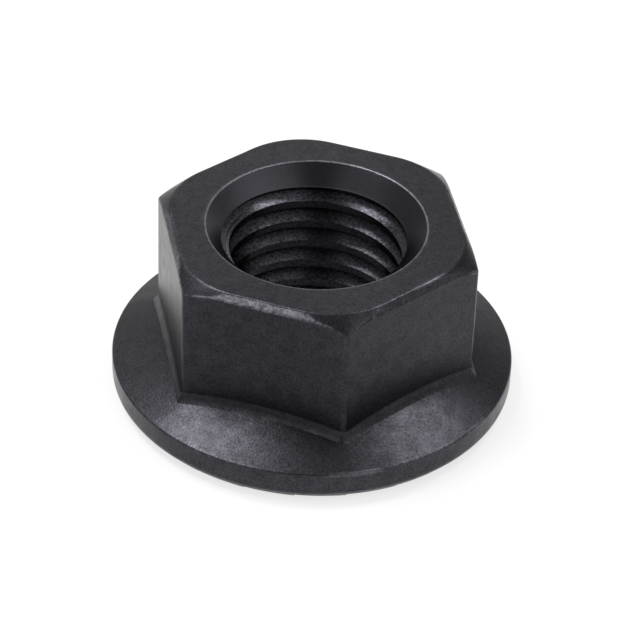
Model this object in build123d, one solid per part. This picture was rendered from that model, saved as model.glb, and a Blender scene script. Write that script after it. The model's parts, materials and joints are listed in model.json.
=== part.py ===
from build123d import *
from math import cos, degrees, radians, sin, tan
import os

# Serrated flange nut, M16 x 2, forged and tapped from one piece.
# Millimetres. The bore runs along Z, the serration tips stand on Z = 0,
# and one flat of the hexagon faces +X.

# ---- driving dimensions ----
# Hexagon
flat_count = 6
across_flats = 24.0
corner_rounding = 0.45          # radius on the six upright edges
nut_height = 15.5               # serration tips to top face

# Top of the hexagon: edges broken along the flats, and blended into turned-down corners
edge_break_in = 0.4             # measured inwards on the top face
edge_break_down = 0.6           # measured down the flats
corner_turn_start = 0.3         # how far the top face's corners lie outside the flats' circle
corner_turn_angle = 35.0        # of the corners, from the top face, degrees

# Thread, held here as its bore at the crests, with a countersink at each end
thread_crest_diameter = 14.2
entry_clearance = 0.32          # how far the plain entry at the top stands outside the crests
entry_depth = 2.3               # from the top face to where the thread starts
top_countersink_angle = 90.0    # included angle
top_countersink_width = 1.58    # radial width of the cone's band
bottom_countersink_angle = 120.0
bottom_countersink_width = 1.4

# Flange
flange_overhang = 4.65          # from the flats' circle out to the rim
rim_thickness = 2.4             # upright edge of the flange
rim_lower_rounding = 0.8
flange_rise = 1.1               # from the rim up to the hexagon's corners
foot_arch = 0.65                # extra rise at the middle of each flat

# Sloping collar between the flats and the flange
collar_height = 1.0
collar_flare = 0.4              # how far its foot stands out from the flats

# Ratchet serrations under the flange
serration_count = 24
serration_depth = 0.32
serration_land = 0.35           # flat tip on each tooth
serration_length = 4.4          # radial length of the ring
serration_lean = 12.0           # how far the inner end leads the outer end, degrees
root_stand = 0.08               # tooth roots to the underside of the flange
ring_setback = 0.45             # from the rim in to the ring's outer end
ring_end_slope = 0.35           # bevel on the teeth's outer ends

# ---- sizes that follow from them ----
flat_radius = across_flats / 2
flange_radius = flat_radius + flange_overhang
ring_stand = serration_depth + root_stand
rim_top = ring_stand + rim_thickness
foot_level = rim_top + flange_rise
bore_radius = thread_crest_diameter / 2
entry_radius = bore_radius + entry_clearance
half_flat = 180 / flat_count    # degrees from a flat's middle to its corner
corner_ratio = 1 / cos(radians(half_flat))
corner_radius = (flat_radius - corner_rounding) * corner_ratio + corner_rounding
serration_pitch = 360 / serration_count
ring_outer = flange_radius - ring_setback
ring_inner = ring_outer - serration_length
past = 0.5                      # how far a cutter runs past what it cuts
inside = 0.1                    # how far a blended surface carries on inside or below its seam
tooth_sections = 5              # sections that guide the curve of a tooth


def polar(radius, angle, height):
    """Point at a radius and an angle about the bore."""
    return Vector(radius * cos(radians(angle)), radius * sin(radians(angle)), height)


def flat_ends(inradius, angle):
    """The two angles and the radius where one flat meets its corner roundings."""
    half_length = (inradius - corner_rounding) * tan(radians(half_flat))
    end = Vector(inradius, half_length)
    half_angle = end.get_angle(Vector(1, 0))
    return angle - half_angle, angle + half_angle, end.length


def arched_outline(inradius, corner_level, arch):
    """Closed hexagonal outline whose sides arch up between rounded corners."""
    corner_reach = (inradius - corner_rounding) * corner_ratio + corner_rounding
    edges = []
    for side in range(flat_count):
        middle = side * 2 * half_flat
        start, end, radius = flat_ends(inradius, middle)
        following, _, _ = flat_ends(inradius, middle + 2 * half_flat)
        first = polar(radius, start, corner_level)
        last = polar(radius, end, corner_level)
        peak = polar(inradius, middle, corner_level + arch)
        edges.append(ThreePointArc(first, peak, last) if arch else Line(first, last))
        edges.append(ThreePointArc(
            last,
            polar(corner_reach, middle + half_flat, corner_level),
            polar(radius, following, corner_level),
        ))
    return Wire(edges)


def rim_outline(inradius):
    """The rim circle, divided where the hexagon's outline is divided."""
    edges = []
    for side in range(flat_count):
        middle = side * 2 * half_flat
        start, end, _ = flat_ends(inradius, middle)
        following, _, _ = flat_ends(inradius, middle + 2 * half_flat)
        edges.append(ThreePointArc(
            polar(flange_radius, start, rim_top),
            polar(flange_radius, middle, rim_top),
            polar(flange_radius, end, rim_top),
        ))
        edges.append(ThreePointArc(
            polar(flange_radius, end, rim_top),
            polar(flange_radius, middle + half_flat, rim_top),
            polar(flange_radius, following, rim_top),
        ))
    return Wire(edges)


def hexagon(inradius):
    """Hexagon by its inscribed radius, one flat facing +X."""
    return RegularPolygon(inradius, flat_count, major_radius=False, rotation=half_flat)


def top_section(depth):
    """Section of the blended top edge, at a depth under the top face."""
    inradius = flat_radius - edge_break_in + depth * edge_break_in / edge_break_down
    reach = flat_radius + corner_turn_start + depth / tan(radians(corner_turn_angle))
    rounding = (inradius * corner_ratio - reach) / (corner_ratio - 1)
    return Pos(0, 0, nut_height - depth) * fillet(hexagon(inradius).vertices(), rounding)


def hexagon_body():
    """Upright hexagon whose top edge runs smoothly from the flats' breaks into its corners."""
    outline = fillet(hexagon(flat_radius).vertices(), corner_rounding)
    corner_overhang = corner_radius - flat_radius - corner_turn_start
    turned_depth = corner_overhang * tan(radians(corner_turn_angle)) + inside
    shoulder = nut_height - turned_depth
    top = Pos(0, 0, shoulder) * extrude(outline, turned_depth)
    top &= loft([top_section(turned_depth), top_section(0)], ruled=True)
    return Pos(0, 0, rim_top) * extrude(outline, shoulder - rim_top) + top


def flange_body():
    """Rim, six sloping facets up to the hexagon, and the collar at its foot."""
    rim_foot = (flange_radius - rim_lower_rounding, ring_stand)
    rim_side = (flange_radius, ring_stand + rim_lower_rounding)
    section = make_face([
        Line((0, ring_stand), rim_foot),
        RadiusArc(rim_foot, rim_side, -rim_lower_rounding),
        Line(rim_side, (flange_radius, rim_top)),
        Line((flange_radius, rim_top), (0, rim_top)),
        Line((0, rim_top), (0, ring_stand)),
    ])
    rim = revolve(Plane.XZ * section, Axis.Z)
    collar_top = foot_level + collar_height + inside * collar_height / collar_flare
    lower_ring = arched_outline(flat_radius + collar_flare, foot_level, foot_arch)
    upper_ring = arched_outline(flat_radius - inside, collar_top, foot_arch)
    crown = arched_outline(flat_radius - 2 * inside, collar_top + foot_arch + past, 0)
    facets = Solid.make_loft([rim_outline(flat_radius), lower_ring, upper_ring, crown], ruled=True)
    return rim + facets


def serration_ring():
    """Plain ring under the flange that the teeth are cut from."""
    section = Polyline(
        (ring_inner, 0),
        (ring_outer - ring_end_slope, 0),
        (ring_outer, ring_stand),
        (ring_outer, ring_stand + past),
        (ring_inner, ring_stand + past),
        close=True,
    )
    return revolve(Plane.XZ * make_face(section), Axis.Z)


def tooth_angle(radius):
    """Where a tooth's upright face lies at a radius: square to the rim, leaning back inwards."""
    inwards = (ring_outer - radius) / serration_length
    return -serration_lean * inwards * abs(inwards)


def tooth_space():
    """Cutter for one space, a long ramp from one tooth's land to the next tooth's upright face."""
    sections = []
    outermost = ring_outer + past
    spacing = (serration_length + 2 * past) / (tooth_sections - 1)
    below = Vector(0, 0, -past)
    for section in range(tooth_sections):
        radius = outermost - section * spacing
        land_angle = degrees(serration_land / radius)
        land_edge = polar(radius, tooth_angle(radius) - land_angle, 0)
        next_tip = polar(radius, tooth_angle(radius) - serration_pitch, 0)
        next_root = next_tip + Vector(0, 0, serration_depth)
        sections.append(make_face(
            Polyline(land_edge, next_root, next_tip + below, land_edge + below, close=True)
        ))
    return loft(sections)


def countersink(radius, width, angle, face_level, outwards):
    """Cutter that opens a bore at a face, widening outwards along Z."""
    slope = tan(radians(angle / 2))
    foot_depth = width / slope
    section = Polyline(
        (0, face_level - outwards * foot_depth),
        (radius, face_level - outwards * foot_depth),
        (radius + width + past * slope, face_level + outwards * past),
        (0, face_level + outwards * past),
        close=True,
    )
    return revolve(Plane.XZ * make_face(section), Axis.Z)


def bore():
    """Cutter for the bore at the crests, its plain entry and both countersinks."""
    cutter = Pos(0, 0, nut_height / 2) * Cylinder(bore_radius, nut_height + 2 * past)
    cutter += Pos(0, 0, nut_height - entry_depth / 2) * Cylinder(entry_radius, entry_depth)
    cutter += countersink(entry_radius, top_countersink_width, top_countersink_angle, nut_height, 1)
    cutter += countersink(bore_radius, bottom_countersink_width, bottom_countersink_angle, ring_stand, -1)
    return cutter


def flange_nut():
    """The whole forging, with its serrations and its bore."""
    nut = hexagon_body() + flange_body() + serration_ring()
    space = tooth_space()
    nut -= [Rot(0, 0, tooth * serration_pitch) * space for tooth in range(serration_count)]
    return nut - bore()


os.makedirs("parts", exist_ok=True)
nut = flange_nut()
print("flange_nut", len(nut.solids()), "solid,", round(nut.volume), "mm3, valid", nut.is_valid)
export_step(nut, "parts/flange_nut.step")
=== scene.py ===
import bpy
import json
from math import atan2, ceil, cos, hypot, pi, radians, sin, tan
from mathutils import Matrix, Vector


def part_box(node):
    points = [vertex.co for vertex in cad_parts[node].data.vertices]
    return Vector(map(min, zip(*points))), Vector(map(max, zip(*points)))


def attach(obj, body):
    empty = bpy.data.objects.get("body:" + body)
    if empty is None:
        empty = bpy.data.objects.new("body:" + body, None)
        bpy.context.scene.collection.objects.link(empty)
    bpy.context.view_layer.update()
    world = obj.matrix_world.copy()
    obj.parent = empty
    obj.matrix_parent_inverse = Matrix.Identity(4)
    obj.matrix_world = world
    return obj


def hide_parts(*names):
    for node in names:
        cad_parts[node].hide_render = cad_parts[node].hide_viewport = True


# Serrated flange nut: one forging in black oxide steel on a pale floor.
# Metres, +Z up the bore, the ratchet teeth stand on Z = 0 and one flat faces +X.

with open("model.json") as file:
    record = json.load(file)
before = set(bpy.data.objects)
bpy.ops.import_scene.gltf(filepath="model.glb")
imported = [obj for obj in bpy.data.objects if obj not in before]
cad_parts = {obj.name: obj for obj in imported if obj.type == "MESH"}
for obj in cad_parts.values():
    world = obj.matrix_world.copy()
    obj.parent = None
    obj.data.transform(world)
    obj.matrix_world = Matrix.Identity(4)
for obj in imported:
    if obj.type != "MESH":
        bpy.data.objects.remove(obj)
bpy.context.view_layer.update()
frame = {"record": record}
mm = 0.001
tiny = 0.001 * mm           # how far off its level a point may be and still count as there
levelMargin = 0.1 * mm      # and how far off it where nothing else comes near
square = 0.01               # how far off square a face's normal may be
over = 0.3 * mm             # how far a fine cutter runs past what it cuts
past = 1 * mm               # and a coarse one
mounts = {mount["name"]: mount for mount in frame["record"]["mounts"]}
flatRadius = mounts["spanner_flat_a"]["pos_m"][0]
crestRadius = mounts["thread"]["dims"]["r_mm"] * mm
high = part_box("flange_nut")[1]
rimRadius = high.x
topLevel = high.z
sides = 6
halfSide = pi / sides       # from a flat's middle round to its corner
ringSteps = 240             # divisions of every full circle
arcProfile = (1 - 0.5 / (1 + cos(halfSide))) ** 2   # makes a bevelled corner of the hexagon a round arc


# edit-mode helpers

def deselectAll():
    if bpy.context.mode != "OBJECT":
        bpy.ops.object.mode_set(mode="OBJECT")
    bpy.ops.object.select_all(action="DESELECT")


def newPiece(name):         # names the primitive just added and puts its place in its mesh
    piece = bpy.context.object
    piece.name = name
    bpy.ops.object.transform_apply(location=True, rotation=True, scale=True)
    return piece


def choose(piece):          # the one piece that the next operator works on
    deselectAll()
    piece.select_set(True)
    bpy.context.view_layer.objects.active = piece


def work(piece, kind="VERT", action="DESELECT"):    # opens one piece in edit mode
    choose(piece)
    bpy.ops.object.mode_set(mode="EDIT")
    bpy.ops.mesh.select_mode(type=kind)
    bpy.ops.mesh.select_all(action=action)


def pick(piece, kind, wanted):  # selects the vertices, edges or faces whose place passes a test
    work(piece, kind)
    bpy.ops.object.mode_set(mode="OBJECT")
    mesh = piece.data
    spots = [vertex.co for vertex in mesh.vertices]
    if kind == "VERT":
        for vertex in mesh.vertices:
            vertex.select = wanted(vertex.co)
    elif kind == "EDGE":
        for edge in mesh.edges:
            edge.select = wanted(*[spots[i] for i in edge.vertices])
    else:
        for face in mesh.polygons:
            face.select = wanted(face.center, face.normal)
    bpy.ops.object.mode_set(mode="EDIT")


def extrudeUp(rise):        # extrudes the selection along the bore
    bpy.ops.mesh.extrude_region_move(TRANSFORM_OT_translate={"value": (0, 0, rise)})


def spread(share):          # scales it out from the bore's axis, or in where the share is under 1
    bpy.ops.transform.resize(value=(share, share, 1), center_override=(0, 0, 0))


def turn(angle):            # turns it about the axis: with no window this operator goes the other way
    bpy.ops.transform.rotate(value=-angle, orient_axis="Z", center_override=(0, 0, 0))


def faceOutwards(piece):
    work(piece, "FACE", "SELECT")
    bpy.ops.mesh.normals_make_consistent(inside=False)


def boolean(piece, tool, operation):    # joins or cuts with another piece, which is used up
    choose(piece)
    step = piece.modifiers.new("step", "BOOLEAN")
    step.operation = operation
    step.solver = "EXACT"
    step.object = tool
    bpy.ops.object.modifier_apply(modifier=step.name)
    bpy.data.objects.remove(tool)
    work(piece, "VERT", "SELECT")
    bpy.ops.mesh.remove_doubles(threshold=2 * tiny)
    bpy.ops.mesh.dissolve_degenerate(threshold=tiny)


def fromAxis(spot):
    return hypot(spot.x, spot.y)


def coneTool(name, lowLevel, lowRadius, highLevel, highRadius):
    deselectAll()
    bpy.ops.mesh.primitive_cone_add(
        vertices=ringSteps, radius1=lowRadius, radius2=highRadius,
        depth=highLevel - lowLevel, location=(0, 0, (lowLevel + highLevel) / 2))
    return newPiece(name)


# hexagon: a bar with rounded corners, its top edge broken along the flats and turned down at the corners

hexagon = {
    "foot": 2.9 * mm,                   # level where the bar starts, inside the flange
    "cornerRounding": 0.45 * mm,
    "cornerCuts": 6,
    "breakIn": 0.4 * mm,                # of the top edge along the flats
    "breakDown": 0.6 * mm,
    "turnStart": 0.3 * mm,              # how far the top face's corners lie outside the flats' circle
    "turnAngle": radians(35),           # of the turned corners, from the top face
    "turnDepth": 1.15 * mm,             # where they have run out past the bar's corners
    "turnCuts": 24,
    "breakRounding": 0.14 * mm,         # of the edge where the flats begin
    "topRounding": 0.14 * mm,           # of the edge round the top face
    "roundingCuts": 3,
}


def topSection(depth):      # outline of the blended top at a depth under the top face, added as a loop
    inradius = flatRadius - hexagon["breakIn"] + depth * hexagon["breakIn"] / hexagon["breakDown"]
    reach = flatRadius + hexagon["turnStart"] + depth / tan(hexagon["turnAngle"])
    rounding = (inradius / cos(halfSide) - reach) / (1 / cos(halfSide) - 1)
    bpy.ops.mesh.primitive_circle_add(
        vertices=sides, radius=inradius / cos(halfSide), location=(0, 0, topLevel - depth))
    bpy.ops.mesh.bevel(
        affect="VERTICES", offset=rounding * tan(halfSide), segments=hexagon["turnCuts"], profile=arcProfile)


def makeTopTool():          # a block with the blended top, to cut the bar to
    depth = hexagon["turnDepth"]
    deselectAll()
    bpy.ops.mesh.primitive_circle_add(vertices=3, radius=mm)    # only its object is wanted, to draw in
    tool = newPiece("topTool")
    work(tool, "VERT", "SELECT")
    bpy.ops.mesh.delete(type="VERT")
    topSection(-over)
    topSection(depth)
    bpy.ops.mesh.select_all(action="SELECT")
    bpy.ops.mesh.bridge_edge_loops()
    pick(tool, "EDGE", lambda a, b: min(a.z, b.z) > topLevel)
    bpy.ops.mesh.edge_face_add()
    pick(tool, "EDGE", lambda a, b: max(a.z, b.z) < topLevel - depth + tiny)
    extrudeUp(depth - topLevel)
    bpy.ops.mesh.edge_face_add()
    faceOutwards(tool)
    return tool


def makeHexagon():
    height = topLevel - hexagon["foot"]
    deselectAll()
    bpy.ops.mesh.primitive_cylinder_add(
        vertices=sides, radius=flatRadius / cos(halfSide), depth=height,
        location=(0, 0, hexagon["foot"] + height / 2))
    bar = newPiece("hexagon")
    pick(bar, "EDGE", lambda a, b: abs(a.z - b.z) > height / 2)
    bpy.ops.mesh.bevel(
        offset=hexagon["cornerRounding"] * tan(halfSide), segments=hexagon["cornerCuts"], profile=arcProfile)
    boolean(bar, makeTopTool(), "INTERSECT")
    pick(bar, "FACE", lambda center, normal: abs(normal.z) < square)    # the flats and upright corners
    bpy.ops.mesh.region_to_loop()
    bpy.ops.mesh.bevel(offset=hexagon["breakRounding"], segments=hexagon["roundingCuts"])
    pick(bar, "FACE", lambda center, normal: normal.z > 1 - square)     # the top face
    bpy.ops.mesh.region_to_loop()
    bpy.ops.mesh.bevel(offset=hexagon["topRounding"], segments=hexagon["roundingCuts"])
    deselectAll()
    print("hexagon:", len(bar.data.polygons), "faces")
    return bar


# flange: a round rim, and six facets that rise from it to a sloping collar at the hexagon's foot

flange = {
    "underside": 0.4 * mm,
    "rimTop": 2.8 * mm,
    "lowerRounding": 0.8 * mm,
    "lowerCuts": 8,
    "upperRounding": 0.12 * mm,
    "upperCuts": 2,
    "footLevel": 3.9 * mm,              # where a facet meets the collar at the corners
    "footArch": 0.65 * mm,              # how much higher it meets it at a flat's middle
    "collarHeight": 1.0 * mm,
    "collarFlare": 0.4 * mm,
    "collarSteps": 4,                   # of the hollow curve by which the collar runs up into the flats
    "sunk": 0.01 * mm,                  # how far inside the flats that curve ends
    "insideFlats": 0.1 * mm,            # how far in the flange carries on from there, up inside the bar
    "lid": 7.9 * mm,                    # level where it closes
    "sideCuts": 39,
    "cornerCuts": 4,
}
collarRadius = flatRadius + flange["collarFlare"]
collarCorner = collarRadius / cos(halfSide)     # a circle that parts the collar from the rim


def onMiddle(spot):         # on the line through the middle of a side, to a fifth of a degree
    angle = atan2(spot.y, spot.x) % (2 * halfSide)
    return min(angle, 2 * halfSide - angle) < radians(0.2)


def atFoot(spot):
    return fromAxis(spot) < collarCorner and spot.z > flange["footLevel"] - levelMargin


def atRim(spot):
    return fromAxis(spot) > collarCorner and spot.z > flange["rimTop"] - levelMargin


def drawRim(piece):         # a copy of the outline pushed out to a circle, drawn down and filled
    work(piece, "VERT", "SELECT")
    bpy.ops.mesh.duplicate()
    bpy.ops.transform.tosphere(value=1)
    bpy.ops.object.mode_set(mode="OBJECT")
    circleRadius = fromAxis([vertex.co for vertex in piece.data.vertices if vertex.select][0])
    bpy.ops.object.mode_set(mode="EDIT")
    spread(rimRadius / circleRadius)
    bpy.ops.transform.translate(value=(0, 0, flange["rimTop"]))
    extrudeUp(flange["underside"] - flange["rimTop"])
    bpy.ops.mesh.edge_face_add()


def raiseOutline(piece):    # to the collar's foot, arched up along each flat
    pick(piece, "VERT", lambda spot: abs(spot.z) < tiny and onMiddle(spot))
    bpy.ops.transform.translate(
        value=(0, 0, flange["footArch"]), use_proportional_edit=True, use_proportional_connected=True,
        proportional_edit_falloff="INVERSE_SQUARE", proportional_size=collarRadius * tan(halfSide))
    highest = flange["footArch"] + levelMargin
    pick(piece, "VERT", lambda spot: fromAxis(spot) < collarCorner and spot.z < highest)
    bpy.ops.transform.translate(value=(0, 0, flange["footLevel"]))


def raiseCollar(piece):     # from the foot up a hollow curve to the flats, then inside them to a lid
    pick(piece, "EDGE", lambda a, b: atFoot(a) and atFoot(b))
    reach = collarRadius
    for step in range(flange["collarSteps"]):
        left = 1 - (step + 1) / flange["collarSteps"]
        newReach = flatRadius + flange["collarFlare"] * left ** 2 if left else flatRadius - flange["sunk"]
        extrudeUp(flange["collarHeight"] / flange["collarSteps"])
        spread(newReach / reach)
        reach = newReach
    inwards = (flatRadius - flange["insideFlats"]) / reach
    extrudeUp(flange["collarHeight"])
    spread(inwards)
    extrudeUp(flange["collarHeight"])
    bpy.ops.transform.resize(value=(inwards, inwards, 0), center_override=(0, 0, flange["lid"]))
    bpy.ops.mesh.edge_face_add()


def makeFlange():
    deselectAll()
    bpy.ops.mesh.primitive_circle_add(vertices=sides, radius=collarCorner, location=(0, 0, 0))
    piece = newPiece("flange")
    work(piece, "VERT", "SELECT")
    bpy.ops.mesh.bevel(
        affect="VERTICES", offset=hexagon["cornerRounding"] * tan(halfSide), segments=flange["cornerCuts"],
        profile=arcProfile)
    pick(piece, "EDGE", lambda a, b: (a - b).length > flatRadius / 2)
    bpy.ops.mesh.subdivide(number_cuts=flange["sideCuts"])
    drawRim(piece)
    raiseOutline(piece)
    pick(piece, "EDGE", lambda a, b: (atFoot(a) and atFoot(b)) or (atRim(a) and atRim(b)))
    bpy.ops.mesh.bridge_edge_loops()
    raiseCollar(piece)
    faceOutwards(piece)
    pick(piece, "EDGE", lambda a, b: max(a.z, b.z) < flange["underside"] + tiny)
    bpy.ops.mesh.bevel(offset=flange["lowerRounding"], segments=flange["lowerCuts"])
    pick(piece, "EDGE", lambda a, b: atRim(a) and atRim(b))
    bpy.ops.mesh.bevel(offset=flange["upperRounding"], segments=flange["upperCuts"])
    deselectAll()
    print("flange:", len(piece.data.polygons), "faces")
    return piece


# ratchet teeth: a raised ring under the flange, cut into long ramps that curve inwards

ratchet = {
    "count": 24,
    "depth": 0.32 * mm,
    "land": 0.35 * mm,                  # flat tip of each tooth
    "length": 4.4 * mm,
    "lean": radians(12),                # how far the inner end of a tooth trails its outer end
    "setback": 0.45 * mm,               # from the rim in to the ring
    "endSlope": 0.35 * mm,
    "sunk": 0.5 * mm,                   # how far the ring reaches up into the flange
    "sections": 7,                      # that guide the curve of a tooth
}
ringOuter = rimRadius - ratchet["setback"]


def toothTurn(radius):
    inwards = (ringOuter - radius) / ratchet["length"]
    return -ratchet["lean"] * inwards * abs(inwards)


def makeToothSpace():       # the cutter between two teeth, drawn inwards section by section
    beyond = 0.5 * mm       # below the tips and past each end of a tooth
    pitch = 2 * pi / ratchet["count"]
    spacing = (ratchet["length"] + 2 * beyond) / (ratchet["sections"] - 1)
    deselectAll()
    bpy.ops.mesh.primitive_plane_add(size=1 * mm, rotation=(pi / 2, 0, pi / 2))
    space = newPiece("toothSpace")
    work(space, "VERT", "SELECT")
    bpy.ops.transform.resize(value=(1, 1, beyond / mm))
    bpy.ops.transform.translate(value=(0, 0, -beyond / 2))
    pick(space, "VERT", lambda spot: spot.y < 0 and spot.z > -beyond / 2)
    bpy.ops.transform.translate(value=(0, 0, ratchet["depth"]))
    work(space, "FACE", "SELECT")
    width, reach, turned = 1 * mm, 0, 0
    for section in range(ratchet["sections"]):
        radius = ringOuter + beyond - section * spacing
        landTurn = ratchet["land"] / radius
        halfTurn = (pitch - landTurn) / 2
        if section > 0:
            extrudeUp(0)
        turn(-turned)
        newWidth = 2 * radius * sin(halfTurn)
        bpy.ops.transform.resize(value=(1, newWidth / width, 1), center_override=(0, 0, 0))
        bpy.ops.transform.translate(value=(radius * cos(halfTurn) - reach, 0, 0))
        width, reach = newWidth, radius * cos(halfTurn)
        turned = toothTurn(radius) - landTurn - halfTurn
        turn(turned)
    faceOutwards(space)
    for tooth in range(1, ratchet["count"]):
        bpy.ops.mesh.duplicate()
        turn(pitch)
    return space


def makeRatchetRing():
    ringInner = ringOuter - ratchet["length"]
    ring = coneTool("ratchetRing", 0, ringOuter - ratchet["endSlope"], flange["underside"], ringOuter)
    pick(ring, "FACE", lambda center, normal: normal.z > 1 - square)
    extrudeUp(ratchet["sunk"])
    boolean(ring, coneTool("ringHole", -past, ringInner, 2 * past, ringInner), "DIFFERENCE")
    boolean(ring, makeToothSpace(), "DIFFERENCE")
    deselectAll()
    print("ratchet ring:", len(ring.data.polygons), "faces")
    return ring


# bore: countersunk at both ends, then tapped with a right-hand thread

bore = {
    "entryRadius": 7.42 * mm,           # of the short plain stretch under the top countersink
    "entryDepth": 2.3 * mm,             # from the top face
    "topWidth": 1.58 * mm,              # radial width of a countersink's cone
    "topAngle": radians(90),
    "bottomWidth": 1.4 * mm,
    "bottomAngle": radians(120),
    "pitch": 2.0 * mm,
    "mouth": 1.36 * mm,                 # of the groove, between two crests
    "flankAngle": radians(30),
    "rootRadius": 8.0 * mm,
    "start": 0.97 * mm,                 # level of a groove's middle on the +X side
    "worn": 0.08 * mm,                  # rounding of the countersink's edge
    "wornCuts": 2,
}
coneMouth = bore["entryRadius"] + bore["topWidth"]
coneFoot = topLevel - bore["topWidth"] / tan(bore["topAngle"] / 2)


def makeGroove():           # the cutter for the thread: a coil with sloping flanks
    innerRadius = crestRadius - over
    depth = bore["rootRadius"] - innerRadius
    slope = tan(bore["flankAngle"])
    innerWidth = bore["mouth"] + 2 * (crestRadius - innerRadius) * slope
    rootWidth = innerWidth - 2 * depth * slope
    deselectAll()
    bpy.ops.mesh.primitive_plane_add(size=depth, rotation=(pi / 2, 0, 0))
    groove = newPiece("groove")
    pick(groove, "EDGE", lambda a, b: max(a.x, b.x) < 0)
    bpy.ops.transform.resize(value=(1, 1, innerWidth / depth))
    pick(groove, "EDGE", lambda a, b: min(a.x, b.x) > 0)
    bpy.ops.transform.resize(value=(1, 1, rootWidth / depth))
    work(groove, "FACE", "SELECT")
    lowest = bore["start"] - 2 * bore["pitch"]
    bpy.ops.transform.translate(value=(innerRadius + depth / 2, 0, lowest))
    choose(groove)
    step = groove.modifiers.new("coil", "SCREW")
    step.axis = "Z"
    step.screw_offset = bore["pitch"]
    step.iterations = ceil((topLevel - lowest) / bore["pitch"]) + 1
    step.steps = step.render_steps = ringSteps
    bpy.ops.object.modifier_apply(modifier=step.name)
    work(groove, "EDGE")
    bpy.ops.mesh.select_non_manifold()
    bpy.ops.mesh.fill_holes(sides=0)
    faceOutwards(groove)
    return groove


def countersink(face, radius, width, angle, outwards):
    slope = tan(angle / 2)
    narrow = face - outwards * (width / slope + over)
    wide = face + outwards * over
    ends = sorted([(narrow, radius - over * slope), (wide, radius + width + over * slope)])
    return coneTool("countersink", *ends[0], *ends[1])


def onMouth(spot):          # on the top face, at the countersink's edge
    return spot.z > topLevel - tiny and fromAxis(spot) < coneMouth + levelMargin


def tapBore(nut):
    entryRadius = bore["entryRadius"]
    entryFloor = topLevel - bore["entryDepth"]
    cutters = (
        coneTool("drill", -past, crestRadius, topLevel + past, crestRadius),
        coneTool("entry", entryFloor, entryRadius, topLevel + past, entryRadius),
        countersink(topLevel, entryRadius, bore["topWidth"], bore["topAngle"], 1),
        countersink(flange["underside"], crestRadius, bore["bottomWidth"], bore["bottomAngle"], -1),
    )
    for cutter in cutters:
        boolean(nut, cutter, "DIFFERENCE")
    pick(nut, "EDGE", lambda a, b: onMouth(a) and onMouth(b))
    bpy.ops.mesh.bevel(offset=bore["worn"], segments=bore["wornCuts"])
    boolean(nut, makeGroove(), "DIFFERENCE")
    deselectAll()
    print("tapped:", len(nut.data.polygons), "faces")


def makeNut():
    nut = makeFlange()
    boolean(nut, makeHexagon(), "UNION")
    boolean(nut, makeRatchetRing(), "UNION")
    tapBore(nut)
    choose(nut)
    sharpest = radians(16)      # between two faces that are shaded as one
    bpy.ops.object.shade_smooth_by_angle(angle=sharpest)
    step = nut.modifiers.new("evenShading", "WEIGHTED_NORMAL")
    step.keep_sharp = True
    bpy.ops.object.modifier_apply(modifier=step.name)
    nut.name = "serratedFlangeNut"
    return nut


# materials

def linear(hexColour):
    channels = [int(hexColour[i:i + 2], 16) / 255 for i in (1, 3, 5)]
    return [c / 12.92 if c <= 0.04045 else ((c + 0.055) / 1.055) ** 2.4 for c in channels] + [1]


def node(tree, kind, settings, links):      # adds a node, sets its values and links its inputs
    made = tree.nodes.new(kind)
    for name, value in settings.items():
        if name == "stops":                 # a ramp's places and grey levels, in place of its own two
            ramp = made.color_ramp.elements
            for place, level in value:
                ramp.new(place).color = (level, level, level, 1)
            ramp.remove(ramp[0])
            ramp.remove(ramp[len(value)])
        elif isinstance(name, str) and hasattr(made, name):
            setattr(made, name, value)
        else:
            made.inputs[name].default_value = value
    for name, source in links.items():
        tree.links.new(source, made.inputs[name])
    return made


def newMaterial(name):
    material = bpy.data.materials.new(name)
    material.use_nodes = True
    tree = material.node_tree
    return material, tree, tree.nodes["Principled BSDF"]


def towards(azimuth, elevation=0):          # the direction, a metre long
    level = cos(elevation)
    return Vector((level * cos(azimuth), level * sin(azimuth), sin(elevation)))


# where a value is a pair, it gives the two ends of a change
oxide = {
    "darkest": "#29282c",
    "palest": "#403f44",
    "roughness": (0.37, 0.28),          # of the dark blotches and of the pale ones
    "grain": 0.19 * mm,                 # left by the forging, finer on the real one: drawn coarse to show
    "grainHeight": 0.013 * mm,
    "mottle": 1.2 * mm,                 # blotches of thicker and thinner oxide
    "mottleNoise": (0.3, 0.7),
    "dentHeight": 0.006 * mm,           # and of a surface that isn't quite flat
    "grainShare": 2.0,                  # how much more the grain colours the skin than the blotches do
    "contrast": (1.05, 1.95),           # the two added up, where the skin is darkest and palest
    "sideShadeLevel": 0.9,                   # painted shade: brightness left on one side of the nut
    "sideShadeWay": radians(-150),          # which way that side faces
    "sideShadeReach": (-2 * mm, 10 * mm),
    "flatShade": 0.8,                    # and in a patch of painted shade on one flat
    "flatShadePlace": (-6 * mm, -10.4 * mm, 9 * mm),
    "flatShadeReach": (5 * mm, 9 * mm),
    "paintedCreaseShade": 0.45,                     # and in the inner corners, as painted shade where the occlusion finds them
    "creaseReach": 1 * mm,
    "creaseAir": (0.55, 0.92),          # how open to the air such a corner and a clear face are
    "footShadeStops": ((0.22, 1.0), (0.32, 0.76), (0.56, 1.0)),     # and by height: painted shade low on the flats, darkest where they meet the collar
    "rim": 1.28,                        # and on the rim: painted light, brighter than the rest
    "topShade": 0.76,                    # and, as painted shade, on the +X side of the top face
    "topShadeReach": (3 * mm, 9.5 * mm),
    "topDepth": (0.3 * mm, 0.1 * mm),   # below the top face
}
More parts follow.
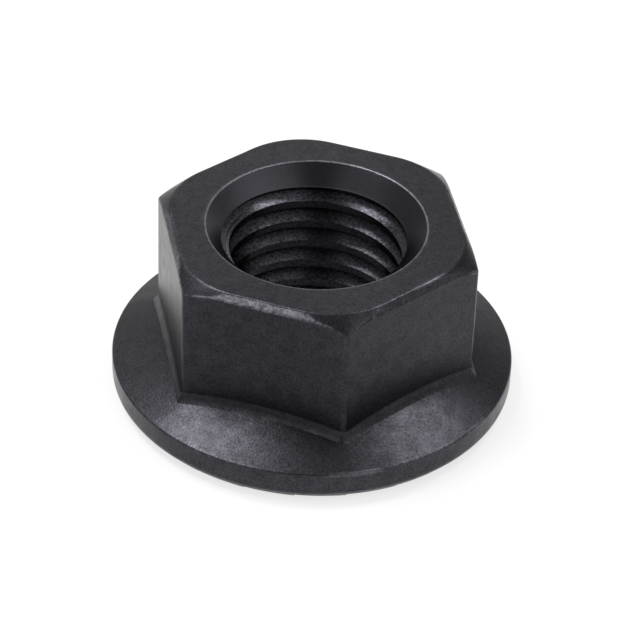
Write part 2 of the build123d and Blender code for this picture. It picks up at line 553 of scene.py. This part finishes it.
wear = {
    "steel": "#8f8d95",                 # that shows through
    "barest": 0.6,                      # how much of it shows at most
    "full": 0.7,                        # wear at which it does
    "reach": 0.5 * mm,                  # how far it spreads from an edge
    "lean": (0.998, 0.93),              # cosine of the rounded-off normal's lean, at no wear and at full
    "air": (0.9, 0.99),                 # how open to the air a place must be
    "chip": 0.32 * mm,                  # size of the worn patches along it
    "chipNoise": (0.3, 0.65),
    "chipGap": 0.6,                     # wear taken away between them
    "spell": 3.5 * mm,                  # length of the more and less worn stretches
    "spellNoise": (0.4, 0.6),
    "spellRange": (0.35, 1.2),
    "byHeight": ((0.22, 0.8), (0.27, 0.3), (0.78, 0.4), (0.92, 1.0)),   # rim, foot, upright edges, top
    "rimWay": radians(-70),             # which way the most worn part of the rim faces
    "rimReach": (14 * mm, 16.2 * mm),
    "rimRange": (0.35, 1.4),            # on the rest of the rim and on that part
    "aboveRim": (0.4 * mm, 0.8 * mm),
    "knocked": 0.62,                    # how far the top's broken edge is worn over its whole width
    "knockedWay": radians(-120),        # over the flat that faces this way
    "knockedReach": (6.5 * mm, 9.5 * mm),
    "knockedFade": (2.5 * mm, 6 * mm),  # along that flat, towards one corner
    "elsewhere": 0.4,                   # share of it left there and over the other flats
    "breakFacing": (0.08, 0.3),         # how far up the broken edge faces, from the flats' edge
    "turnFacing": (0.76, 0.64),         # and the turned corners, which are left out
    "topDepth": (1.2 * mm, 0.8 * mm),   # below the top face
    "lip": 0.9,                         # how far the edge round the countersink is worn
    "lipReach": (0.12 * mm, 0.04 * mm),
}


def oxideWithPaintedLight(tree, place, spot, height, clear, blotches):
    # dark and pale skin, with painted light and shade from place to place
    tone = node(
        tree, "ShaderNodeMix",
        {"data_type": "RGBA", 6: linear(oxide["darkest"]), 7: linear(oxide["palest"])},
        {0: blotches})
    # painted shade, darker towards one side of the nut
    across = node(
        tree, "ShaderNodeVectorMath", {"operation": "DOT_PRODUCT", 1: towards(oxide["sideShadeWay"])},
        {0: place})
    near, far = oxide["sideShadeReach"]
    paintedSideShade = node(
        tree, "ShaderNodeMapRange",
        {"From Min": near, "From Max": far, "To Min": 1.0, "To Max": oxide["sideShadeLevel"]},
        {"Value": across.outputs["Value"]})
    # painted shade: a darker patch on one flat
    fromFlatShade = node(
        tree, "ShaderNodeVectorMath", {"operation": "DISTANCE", 1: oxide["flatShadePlace"]}, {0: place})
    near, far = oxide["flatShadeReach"]
    paintedFlatShade = node(
        tree, "ShaderNodeMapRange",
        {"interpolation_type": "SMOOTHSTEP", "From Min": near, "From Max": far, "To Min": oxide["flatShade"]},
        {"Value": fromFlatShade.outputs["Value"]})
    # painted shade in the inner corners
    least, most = oxide["creaseAir"]
    paintedCreaseShade = node(
        tree, "ShaderNodeMapRange", {"From Min": least, "From Max": most, "To Min": oxide["paintedCreaseShade"]},
        {"Value": clear})
    # painted shade, darker low on the flats
    paintedFootShade = node(tree, "ShaderNodeValToRGB", {"stops": oxide["footShadeStops"]}, {"Fac": height})
    # painted light on the rim
    paintedRimLight = node(
        tree, "ShaderNodeMapRange",
        {"From Min": flange["rimTop"] + levelMargin, "From Max": flange["rimTop"] - levelMargin,
         "To Min": 1.0, "To Max": oxide["rim"]},
        {"Value": spot.outputs["Z"]})
    # painted shade on the +X side of the top face
    deep, shallow = oxide["topDepth"]
    onTop = node(
        tree, "ShaderNodeMapRange", {"From Min": topLevel - deep, "From Max": topLevel - shallow},
        {"Value": spot.outputs["Z"]})
    near, far = oxide["topShadeReach"]
    paintedTopShade = node(
        tree, "ShaderNodeMapRange", {"From Min": near, "From Max": far, "To Max": 1 - oxide["topShade"]},
        {"Value": spot.outputs["X"]})
    topShadeTaken = node(
        tree, "ShaderNodeMath", {"operation": "MULTIPLY"},
        {0: onTop.outputs["Result"], 1: paintedTopShade.outputs["Result"]})
    afterTopShade = node(tree, "ShaderNodeMath", {"operation": "SUBTRACT", 0: 1.0}, {1: topShadeTaken.outputs["Value"]})
    levelWithPaintedLight = paintedSideShade.outputs["Result"]
    paintedShades = (
        paintedFlatShade.outputs["Result"], paintedCreaseShade.outputs["Result"], paintedFootShade.outputs["Color"],
        paintedRimLight.outputs["Result"], afterTopShade.outputs["Value"])
    for shade in paintedShades:
        levelWithPaintedLight = node(
            tree, "ShaderNodeMath", {"operation": "MULTIPLY"}, {0: levelWithPaintedLight, 1: shade}).outputs["Value"]
    skinWithPaintedLight = node(
        tree, "ShaderNodeVectorMath", {"operation": "SCALE"}, {0: tone.outputs[2], "Scale": levelWithPaintedLight})
    return skinWithPaintedLight.outputs["Vector"]


def edgeWear(tree, place, spot, height, clear, surface):
    # edges: where a rounded-off normal leaves the real one, and nothing stands close in front
    rounded = node(tree, "ShaderNodeBevel", {"samples": 6, "Radius": wear["reach"]}, {})
    lean = node(
        tree, "ShaderNodeVectorMath", {"operation": "DOT_PRODUCT"},
        {0: rounded.outputs["Normal"], 1: surface.outputs["Normal"]})
    none, full = wear["lean"]
    edge = node(
        tree, "ShaderNodeMapRange", {"From Min": none, "From Max": full},
        {"Value": lean.outputs["Value"]})
    least, most = wear["air"]
    proud = node(tree, "ShaderNodeMapRange", {"From Min": least, "From Max": most}, {"Value": clear})
    handled = node(tree, "ShaderNodeValToRGB", {"stops": wear["byHeight"]}, {"Fac": height})
    # stretches along them, and one part of the rim, that are worn more
    spells = node(
        tree, "ShaderNodeTexNoise", {"Scale": 1 / wear["spell"], "Detail": 1.0}, {"Vector": place})
    low, high = wear["spellNoise"]
    least, most = wear["spellRange"]
    stretch = node(
        tree, "ShaderNodeMapRange", {"From Min": low, "From Max": high, "To Min": least, "To Max": most},
        {"Value": spells.outputs["Fac"]})
    towardsRim = node(
        tree, "ShaderNodeVectorMath", {"operation": "DOT_PRODUCT", 1: towards(wear["rimWay"])},
        {0: place})
    near, far = wear["rimReach"]
    least, most = wear["rimRange"]
    thatRim = node(
        tree, "ShaderNodeMapRange", {"From Min": near, "From Max": far, "To Min": least, "To Max": most},
        {"Value": towardsRim.outputs["Value"]})
    low, high = wear["aboveRim"]
    aboveRim = node(
        tree, "ShaderNodeMapRange",
        {"From Min": flange["rimTop"] + low, "From Max": flange["rimTop"] + high},
        {"Value": spot.outputs["Z"]})
    placed = node(
        tree, "ShaderNodeMath", {"operation": "MAXIMUM"},
        {0: thatRim.outputs["Result"], 1: aboveRim.outputs["Result"]})
    factors = (
        proud.outputs["Result"], handled.outputs["Color"], stretch.outputs["Result"],
        placed.outputs["Value"])
    knocks = edge.outputs["Result"]
    for factor in factors:
        knocks = node(
            tree, "ShaderNodeMath", {"operation": "MULTIPLY"}, {0: knocks, 1: factor}).outputs["Value"]
    return knocks


def breakWear(tree, place, atTop, surface):     # the broken edge along the top, worn over its whole width
    facing = node(tree, "ShaderNodeSeparateXYZ", {}, {"Vector": surface.outputs["True Normal"]})
    low, high = wear["breakFacing"]
    sloping = node(
        tree, "ShaderNodeMapRange", {"From Min": low, "From Max": high}, {"Value": facing.outputs["Z"]})
    high, low = wear["turnFacing"]
    notTurned = node(
        tree, "ShaderNodeMapRange", {"From Min": high, "From Max": low}, {"Value": facing.outputs["Z"]})
    outwards = node(
        tree, "ShaderNodeVectorMath", {"operation": "DOT_PRODUCT", 1: towards(wear["knockedWay"])},
        {0: place})
    near, far = wear["knockedReach"]
    thatFlat = node(
        tree, "ShaderNodeMapRange", {"From Min": near, "From Max": far, "To Min": wear["elsewhere"]},
        {"Value": outwards.outputs["Value"]})
    sidewards = node(
        tree, "ShaderNodeVectorMath",
        {"operation": "DOT_PRODUCT", 1: towards(wear["knockedWay"] + pi / 2)},
        {0: place})
    near, far = wear["knockedFade"]
    fading = node(
        tree, "ShaderNodeMapRange",
        {"From Min": near, "From Max": far, "To Min": 1.0, "To Max": wear["elsewhere"]},
        {"Value": sidewards.outputs["Value"]})
    band = sloping.outputs["Result"]
    for factor in (notTurned, atTop, thatFlat, fading):
        product = node(
            tree, "ShaderNodeMath", {"operation": "MULTIPLY"}, {0: band, 1: factor.outputs["Result"]})
        band = product.outputs["Value"]
    bare = node(tree, "ShaderNodeMath", {"operation": "MULTIPLY", 1: wear["knocked"]}, {0: band})
    return bare.outputs["Value"]


def lipWear(tree, place, atTop):                # the lip round the countersink
    flat = node(tree, "ShaderNodeVectorMath", {"operation": "MULTIPLY", 1: (1, 1, 0)}, {0: place})
    fromBore = node(tree, "ShaderNodeVectorMath", {"operation": "LENGTH"}, {0: flat.outputs["Vector"]})
    outer, inner = wear["lipReach"]
    inLip = node(
        tree, "ShaderNodeMapRange",
        {"From Min": coneMouth + outer, "From Max": coneMouth + inner, "To Max": wear["lip"]},
        {"Value": fromBore.outputs["Value"]})
    lip = node(
        tree, "ShaderNodeMath", {"operation": "MULTIPLY"},
        {0: inLip.outputs["Result"], 1: atTop.outputs["Result"]})
    return lip.outputs["Value"]


# hot forged, then chemically blackened: a satin purple-black skin, grainy, bare along the edges, with painted
# light and shade in its colour
def blackOxideSteel():
    material, tree, shader = newMaterial("blackOxideSteel")
    place = node(tree, "ShaderNodeTexCoord", {}, {}).outputs["Object"]
    spot = node(tree, "ShaderNodeSeparateXYZ", {}, {"Vector": place})
    surface = node(tree, "ShaderNodeNewGeometry", {}, {})
    share = node(
        tree, "ShaderNodeMapRange", {"From Min": 0, "From Max": topLevel}, {"Value": spot.outputs["Z"]})
    height = share.outputs["Result"]
    air = node(
        tree, "ShaderNodeAmbientOcclusion",
        {"samples": 4, "only_local": True, "Distance": oxide["creaseReach"]},
        {})
    clear = air.outputs["AO"]
    # fine grain over blotches
    grain = node(
        tree, "ShaderNodeTexNoise", {"Scale": 1 / oxide["grain"], "Detail": 3.0, "Roughness": 0.6},
        {"Vector": place})
    mottle = node(
        tree, "ShaderNodeTexNoise", {"Scale": 1 / oxide["mottle"], "Detail": 5.0, "Roughness": 0.6},
        {"Vector": place})
    mixed = node(
        tree, "ShaderNodeMath", {"operation": "MULTIPLY_ADD", 1: oxide["grainShare"]},
        {0: grain.outputs["Fac"], 2: mottle.outputs["Fac"]})
    darkest, palest = oxide["contrast"]
    blotches = node(
        tree, "ShaderNodeMapRange", {"From Min": darkest, "From Max": palest},
        {"Value": mixed.outputs["Value"]})
    skinWithPaintedLight = oxideWithPaintedLight(tree, place, spot, height, clear, blotches.outputs["Result"])
    # the strongest wear at each place, broken up into chips
    deep, shallow = wear["topDepth"]
    atTop = node(
        tree, "ShaderNodeMapRange", {"From Min": topLevel - deep, "From Max": topLevel - shallow},
        {"Value": spot.outputs["Z"]})
    worn = edgeWear(tree, place, spot, height, clear, surface)
    for other in (breakWear(tree, place, atTop, surface), lipWear(tree, place, atTop)):
        worn = node(
            tree, "ShaderNodeMath", {"operation": "MAXIMUM"}, {0: worn, 1: other}).outputs["Value"]
    chips = node(
        tree, "ShaderNodeTexNoise", {"Scale": 1 / wear["chip"], "Detail": 4.0, "Roughness": 0.7},
        {"Vector": place})
    low, high = wear["chipNoise"]
    gaps = node(
        tree, "ShaderNodeMapRange",
        {"From Min": low, "From Max": high, "To Min": wear["chipGap"], "To Max": 0},
        {"Value": chips.outputs["Fac"]})
    left = node(tree, "ShaderNodeMath", {"operation": "SUBTRACT"}, {0: worn, 1: gaps.outputs["Result"]})
    bare = node(
        tree, "ShaderNodeMapRange", {"From Min": 0, "From Max": wear["full"], "To Max": wear["barest"]},
        {"Value": left.outputs["Value"]})
    colour = node(
        tree, "ShaderNodeMix", {"data_type": "RGBA", 7: linear(wear["steel"])},
        {0: bare.outputs["Result"], 6: skinWithPaintedLight})
    rough, smooth = oxide["roughness"]
    low, high = oxide["mottleNoise"]
    sheen = node(
        tree, "ShaderNodeMapRange",
        {"From Min": low, "From Max": high, "To Min": rough, "To Max": smooth},
        {"Value": mottle.outputs["Fac"]})
    dents = node(
        tree, "ShaderNodeBump", {"Distance": oxide["dentHeight"]}, {"Height": mottle.outputs["Fac"]})
    relief = node(
        tree, "ShaderNodeBump", {"Distance": oxide["grainHeight"]},
        {"Height": grain.outputs["Fac"], "Normal": dents.outputs["Normal"]})
    tree.links.new(colour.outputs[2], shader.inputs["Base Color"])
    tree.links.new(sheen.outputs["Result"], shader.inputs["Roughness"])
    tree.links.new(relief.outputs["Normal"], shader.inputs["Normal"])
    shader.inputs["Metallic"].default_value = 1.0
    return material


tap = {
    "darkest": "#1c1c20",
    "palest": "#74717a",
    "contrast": (0.3, 0.85),            # of the specks, where the steel is darkest and palest
    "sides": (1.3, 0.6),                # painted light and shade: brightness on the -X side and on the +X side
    "crests": 0.3,                      # brightness left on the crests, which the tap doesn't touch, and as painted shade on the flanks that face down
    "flankFacing": (0.2, 0.5),          # how far up a crest faces at most, and a flank at least
    "roughness": 0.3,
    "rubbed": 1.0,                      # how much more it scatters light across the rubbing than along it
    "acrossRubbing": 0.25,              # of a turn, from the tangent round the bore
    "tear": 0.2 * mm,                   # torn specks that the tap leaves on the flanks, coarse enough to show
    "tearHeight": 0.004 * mm,
}


# cut and rubbed by the tap: brighter than the forging, with torn specks that glint, and painted light and
# shade on its two sides and its downward flanks
def burnishedThread():
    material, tree, shader = newMaterial("burnishedThread")
    place = node(tree, "ShaderNodeTexCoord", {}, {}).outputs["Object"]
    spot = node(tree, "ShaderNodeSeparateXYZ", {}, {"Vector": place})
    surface = node(tree, "ShaderNodeNewGeometry", {}, {})
    facing = node(tree, "ShaderNodeSeparateXYZ", {}, {"Vector": surface.outputs["True Normal"]})
    tears = node(
        tree, "ShaderNodeTexNoise", {"Scale": 1 / tap["tear"], "Detail": 3.0, "Roughness": 0.6},
        {"Vector": place})
    darkest, palest = tap["contrast"]
    specks = node(
        tree, "ShaderNodeMapRange", {"From Min": darkest, "From Max": palest},
        {"Value": tears.outputs["Fac"]})
    colour = node(
        tree, "ShaderNodeMix", {"data_type": "RGBA", 6: linear(tap["darkest"]), 7: linear(tap["palest"])},
        {0: specks.outputs["Result"]})
    # darker crests, and painted shade on the flanks that face down
    low, high = tap["flankFacing"]
    flank = node(
        tree, "ShaderNodeMapRange", {"From Min": low, "From Max": high, "To Min": tap["crests"]},
        {"Value": facing.outputs["Z"]})
    # painted light and shade, brighter on the -X side than on the +X side
    brighterSide, darkerSide = tap["sides"]
    paintedSideLight = node(
        tree, "ShaderNodeMapRange",
        {"From Min": -crestRadius, "From Max": crestRadius, "To Min": brighterSide, "To Max": darkerSide},
        {"Value": spot.outputs["X"]})
    levelWithPaintedLight = node(
        tree, "ShaderNodeMath", {"operation": "MULTIPLY"},
        {0: flank.outputs["Result"], 1: paintedSideLight.outputs["Result"]})
    skinWithPaintedLight = node(
        tree, "ShaderNodeVectorMath", {"operation": "SCALE"},
        {0: colour.outputs[2], "Scale": levelWithPaintedLight.outputs["Value"]})
    relief = node(
        tree, "ShaderNodeBump", {"Distance": tap["tearHeight"]}, {"Height": tears.outputs["Fac"]})
    roundBore = node(tree, "ShaderNodeTangent", {"direction_type": "RADIAL", "axis": "Z"}, {})
    tree.links.new(skinWithPaintedLight.outputs["Vector"], shader.inputs["Base Color"])
    tree.links.new(relief.outputs["Normal"], shader.inputs["Normal"])
    tree.links.new(roundBore.outputs["Tangent"], shader.inputs["Tangent"])
    shader.inputs["Metallic"].default_value = 1.0
    shader.inputs["Roughness"].default_value = tap["roughness"]
    shader.inputs["Anisotropic"].default_value = tap["rubbed"]
    shader.inputs["Anisotropic Rotation"].default_value = tap["acrossRubbing"]
    return material


cone = {
    "dull": "#2f2e32",
    "bright": "#403f44",
    "sides": (1.45, 0.45),              # painted light and shade: brightness on the -X side and on the +X side
    "sideLightReach": 8 * mm,
    "foot": 1.8,                        # and a painted highlight along its lower edge
    "highlightReach": (0.08 * mm, 0.02 * mm),
    "roughness": 0.27,
    "ring": 0.11 * mm,                  # spacing of the turning marks, finer on the real one
    "ringHeight": 0.004 * mm,
}


# cut by a spinning tool before blackening: smoother than the forging, with fine rings, painted light and
# shade on its two sides and a painted highlight along its foot
def turnedCountersink():
    material, tree, shader = newMaterial("turnedCountersink")
    place = node(tree, "ShaderNodeTexCoord", {}, {}).outputs["Object"]
    spot = node(tree, "ShaderNodeSeparateXYZ", {}, {"Vector": place})
    rings = node(
        tree, "ShaderNodeTexNoise", {"noise_dimensions": "1D", "Scale": 1 / cone["ring"], "Detail": 2.0},
        {"W": spot.outputs["Z"]})
    grain = node(
        tree, "ShaderNodeTexNoise", {"Scale": 1 / oxide["grain"], "Detail": 3.0}, {"Vector": place})
    colour = node(
        tree, "ShaderNodeMix", {"data_type": "RGBA", 6: linear(cone["dull"]), 7: linear(cone["bright"])},
        {0: grain.outputs["Fac"]})
    # painted light and shade, brighter on the -X side than on the +X side
    brighterSide, darkerSide = cone["sides"]
    paintedSideLight = node(
        tree, "ShaderNodeMapRange",
        {"From Min": -cone["sideLightReach"], "From Max": cone["sideLightReach"], "To Min": brighterSide, "To Max": darkerSide},
        {"Value": spot.outputs["X"]})
    # painted highlight along the cone's lower edge
    upper, lower = cone["highlightReach"]
    paintedEdgeHighlight = node(
        tree, "ShaderNodeMapRange",
        {"From Min": coneFoot + upper, "From Max": coneFoot + lower, "To Min": 1.0, "To Max": cone["foot"]},
        {"Value": spot.outputs["Z"]})
    levelWithPaintedLight = node(
        tree, "ShaderNodeMath", {"operation": "MULTIPLY"},
        {0: paintedSideLight.outputs["Result"], 1: paintedEdgeHighlight.outputs["Result"]})
    skinWithPaintedLight = node(
        tree, "ShaderNodeVectorMath", {"operation": "SCALE"},
        {0: colour.outputs[2], "Scale": levelWithPaintedLight.outputs["Value"]})
    marks = node(
        tree, "ShaderNodeMath", {"operation": "ADD"}, {0: rings.outputs["Fac"], 1: grain.outputs["Fac"]})
    relief = node(
        tree, "ShaderNodeBump", {"Distance": cone["ringHeight"]}, {"Height": marks.outputs["Value"]})
    tree.links.new(skinWithPaintedLight.outputs["Vector"], shader.inputs["Base Color"])
    tree.links.new(relief.outputs["Normal"], shader.inputs["Normal"])
    shader.inputs["Metallic"].default_value = 1.0
    shader.inputs["Roughness"].default_value = cone["roughness"]
    return material


paper = {
    "colour": "#f8f8f8",
    "roughness": 0.9,
    "glow": 0.7,                        # share of the floor seen plain white, the rest takes light and shadow
}


def paleFloor():            # matt white paper
    material, tree, shader = newMaterial("paleFloor")
    shader.inputs["Base Color"].default_value = linear(paper["colour"])
    shader.inputs["Roughness"].default_value = paper["roughness"]
    rays = node(tree, "ShaderNodeLightPath", {}, {})
    straight = node(
        tree, "ShaderNodeMath", {"operation": "MAXIMUM"},
        {0: rays.outputs["Is Camera Ray"], 1: rays.outputs["Is Glossy Ray"]})
    seen = node(
        tree, "ShaderNodeMath", {"operation": "MAXIMUM"},
        {0: straight.outputs["Value"], 1: rays.outputs["Is Transmission Ray"]})
    share = node(
        tree, "ShaderNodeMath", {"operation": "MULTIPLY", 1: paper["glow"]}, {0: seen.outputs["Value"]})
    white = node(tree, "ShaderNodeEmission", {}, {})
    both = node(
        tree, "ShaderNodeMixShader", {},
        {0: share.outputs["Value"], 1: shader.outputs["BSDF"], 2: white.outputs["Emission"]})
    tree.links.new(both.outputs["Shader"], tree.nodes["Material Output"].inputs["Surface"])
    return material


def onLowerCone(spot):      # the countersink in the underside, which keeps the forged skin
    rise = spot.z - flange["underside"]
    coneRadius = crestRadius + bore["bottomWidth"] - rise * tan(bore["bottomAngle"] / 2)
    return abs(coneRadius - fromAxis(spot)) < 0.03 * mm


def finishNut(nut):         # forged skin all over, but for the thread and the top countersink
    nut.data.materials.clear()
    for material in (blackOxideSteel(), burnishedThread(), turnedCountersink()):
        nut.data.materials.append(material)
    margin = 0.01 * mm
    counts = [0, 0, 0]
    for face in nut.data.polygons:
        corners = [nut.data.vertices[i].co for i in face.vertices]
        reach = max(fromAxis(corner) for corner in corners)
        if not all(onLowerCone(corner) for corner in corners):
            if reach < bore["rootRadius"] + margin and face.center.z < coneFoot:
                face.material_index = 1
            elif reach < coneMouth and coneFoot - margin < face.center.z < topLevel - levelMargin:
                face.material_index = 2
        counts[face.material_index] += 1
    print("materials:", counts, "faces")


# studio

studio = {
    "floorSize": 1.2,
    "cameraDistance": 251.19 * mm,
    "cameraTarget": (-0.114 * mm, -3.355 * mm, 8.2 * mm),
    "azimuth": radians(-11.62),         # which way the camera's right is
    "elevation": radians(36.95),
    "roll": radians(2.18),
    "lens": 173.4,
    "sensor": 36,
    "softboxDistance": 0.5,
    "softboxes": {                      # azimuth, elevation, width, depth and brightness
        "softboxLeft": (radians(141), radians(65), 0.15, 0.20, 13.2),
        "softboxRight": (radians(28), radians(60), 0.10, 0.12, 14.4),
        "softboxFront": (radians(-139), radians(29), 0.12, 0.12, 2.2),
    },
    "sky": ((14, 0.6), (30, 1.12), (42, 1.05), (80, 0.6)),  # brightness by elevation in degrees
    "strip": (0.36, 1.35),              # of the sky in front, between the softboxes and beside them
    "stripEdges": (0.12, 0.38),
    "frontEdges": (-0.1, 0.15),
    "patch": 0.3,                       # brightness left in a dim patch of it under the right softbox
    "patchWay": (radians(32.04), radians(38.02)),
    "patchEdges": (0.89, 0.97),
}


def softbox(name, azimuth, elevation, width, depth, radiance):
    lamp = bpy.data.lights.new(name, "AREA")
    lamp.shape = "RECTANGLE"
    lamp.size, lamp.size_y = width, depth
    lamp.energy = radiance * pi * width * depth
    box = bpy.data.objects.new(name, lamp)
    bpy.context.scene.collection.objects.link(box)
    away = towards(azimuth, elevation)
    box.location = studio["softboxDistance"] * away
    right = towards(studio["azimuth"])      # its width runs from the camera's left to right
    across = (right - right.dot(away) * away).normalized()
    box.rotation_euler = Matrix((across, away.cross(across), away)).transposed().to_euler()


def makeSky():
    world = bpy.data.worlds.new("studioWorld")
    bpy.context.scene.world = world
    world.use_nodes = True
    tree = world.node_tree
    way = node(tree, "ShaderNodeTexCoord", {}, {}).outputs["Generated"]
    split = node(tree, "ShaderNodeSeparateXYZ", {}, {"Vector": way})
    stops = [(sin(radians(elevation)), radiance) for elevation, radiance in studio["sky"]]
    ramp = node(tree, "ShaderNodeValToRGB", {"stops": stops}, {"Fac": split.outputs["Z"]})
    # a dim strip over the front, between the two softboxes, and a dim patch under the right one
    sideways = node(
        tree, "ShaderNodeVectorMath", {"operation": "DOT_PRODUCT", 1: towards(studio["azimuth"])},
        {0: way})
    offCentre = node(tree, "ShaderNodeMath", {"operation": "ABSOLUTE"}, {0: sideways.outputs["Value"]})
    inner, outer = studio["stripEdges"]
    dim, bright = studio["strip"]
    strip = node(
        tree, "ShaderNodeMapRange",
        {"interpolation_type": "SMOOTHSTEP", "From Min": inner, "From Max": outer, "To Min": dim,
         "To Max": bright},
        {"Value": offCentre.outputs["Value"]})
    frontwards = node(
        tree, "ShaderNodeVectorMath",
        {"operation": "DOT_PRODUCT", 1: towards(studio["azimuth"] - pi / 2)},
        {0: way})
    behind, before = studio["frontEdges"]
    inFront = node(
        tree, "ShaderNodeMapRange", {"From Min": behind, "From Max": before},
        {"Value": frontwards.outputs["Value"]})
    front = node(
        tree, "ShaderNodeMix", {2: 1.0}, {0: inFront.outputs["Result"], 3: strip.outputs["Result"]})
    towardsPatch = node(
        tree, "ShaderNodeVectorMath", {"operation": "DOT_PRODUCT", 1: towards(*studio["patchWay"])},
        {0: way})
    outer, inner = studio["patchEdges"]
    patch = node(
        tree, "ShaderNodeMapRange",
        {"From Min": outer, "From Max": inner, "To Min": 1.0, "To Max": studio["patch"]},
        {"Value": towardsPatch.outputs["Value"]})
    level = node(
        tree, "ShaderNodeMath", {"operation": "MULTIPLY"},
        {0: front.outputs[0], 1: patch.outputs["Result"]})
    background = tree.nodes["Background"]
    tree.links.new(ramp.outputs["Color"], background.inputs["Color"])
    tree.links.new(level.outputs["Value"], background.inputs["Strength"])


def makeStudio():
    deselectAll()
    bpy.ops.mesh.primitive_plane_add(size=studio["floorSize"], location=(0, 0, 0))
    floor = newPiece("floor")
    floor.data.materials.append(paleFloor())
    makeSky()
    for name, values in studio["softboxes"].items():
        softbox(name, *values)
    print("studio: floor, sky and", len(studio["softboxes"]), "softboxes")


def makeCamera():
    lens = bpy.data.cameras.new("camera")
    lens.lens = studio["lens"]
    lens.sensor_width = studio["sensor"]
    camera = bpy.data.objects.new("camera", lens)
    bpy.context.scene.collection.objects.link(camera)
    aim = (
        Matrix.Rotation(studio["azimuth"], 4, "Z")
        @ Matrix.Rotation(pi / 2 - studio["elevation"], 4, "X")
        @ Matrix.Rotation(studio["roll"], 4, "Z"))
    back = aim @ Vector((0, 0, 1))
    place = Vector(studio["cameraTarget"]) + studio["cameraDistance"] * back
    camera.matrix_world = Matrix.Translation(place) @ aim
    bpy.context.scene.camera = camera


nut = makeNut()
finishNut(nut)
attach(nut, "root")
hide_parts("flange_nut")
makeStudio()
makeCamera()
bpy.context.scene.view_settings.view_transform = "Standard"
